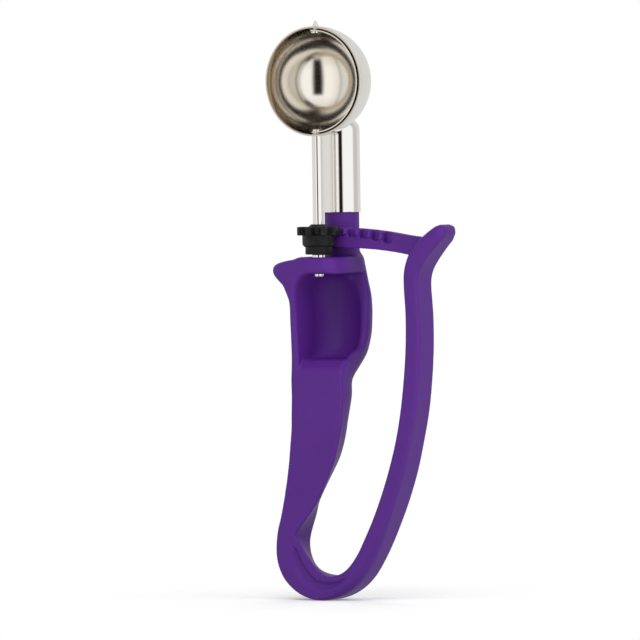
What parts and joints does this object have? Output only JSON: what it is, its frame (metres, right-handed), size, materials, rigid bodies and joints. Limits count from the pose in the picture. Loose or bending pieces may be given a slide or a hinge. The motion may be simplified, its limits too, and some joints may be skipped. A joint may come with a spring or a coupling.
{
  "type": "ice cream scoop",
  "caption": "Lever ice cream scoop with a round steel bowl, a sweeping scraper band, a steel stem and a one-piece purple squeeze handle.",
  "frame": {"origin": "middle of the grip, on the line of the drive rod", "axes": "+Z along the drive rod towards the bowl, -Y out of the open face of the bowl, +X towards the squeeze lever"},
  "size_m": [0.0733, 0.0361, 0.2177],
  "materials": {
    "bowl_steel": "stainless sheet, spun satin inside",
    "bright_steel": "polished stainless",
    "black_plastic": "moulded, semi-matte",
    "purple_plastic": "moulded, soft satin gloss"
  },
  "bodies": {
    "handle": {"handle_grip": "purple_plastic", "spring_bow": "purple_plastic", "shelf_bush": "bright_steel", "shaft_tube": "bright_steel", "bowl": "bowl_steel"},
    "lever": {"squeeze_lever": "purple_plastic", "rack_arm": "purple_plastic"},
    "scraper": {"scraper_blade": "bright_steel", "pivot_pin": "bright_steel", "drive_rod": "bright_steel", "pinion": "black_plastic"}
  },
  "joints": [
    {"name": "lever_squeeze", "type": "hinge", "parent": "handle", "child": "lever", "pos_m": [0, 0.00825, -0.057], "axis": [0, -1, 0], "range_deg": [0, 9.8], "stiffness_Nm_per_rad": 6},
    {"name": "scraper_sweep", "type": "hinge", "parent": "handle", "child": "scraper", "pos_m": [0, 0, 0.12], "axis": [0, 0, 1], "range_deg": [0, 180]}
  ],
  "couplings": [
    {"joint": "scraper_sweep", "follows": "lever_squeeze", "ratio": 18.31}
  ]
}
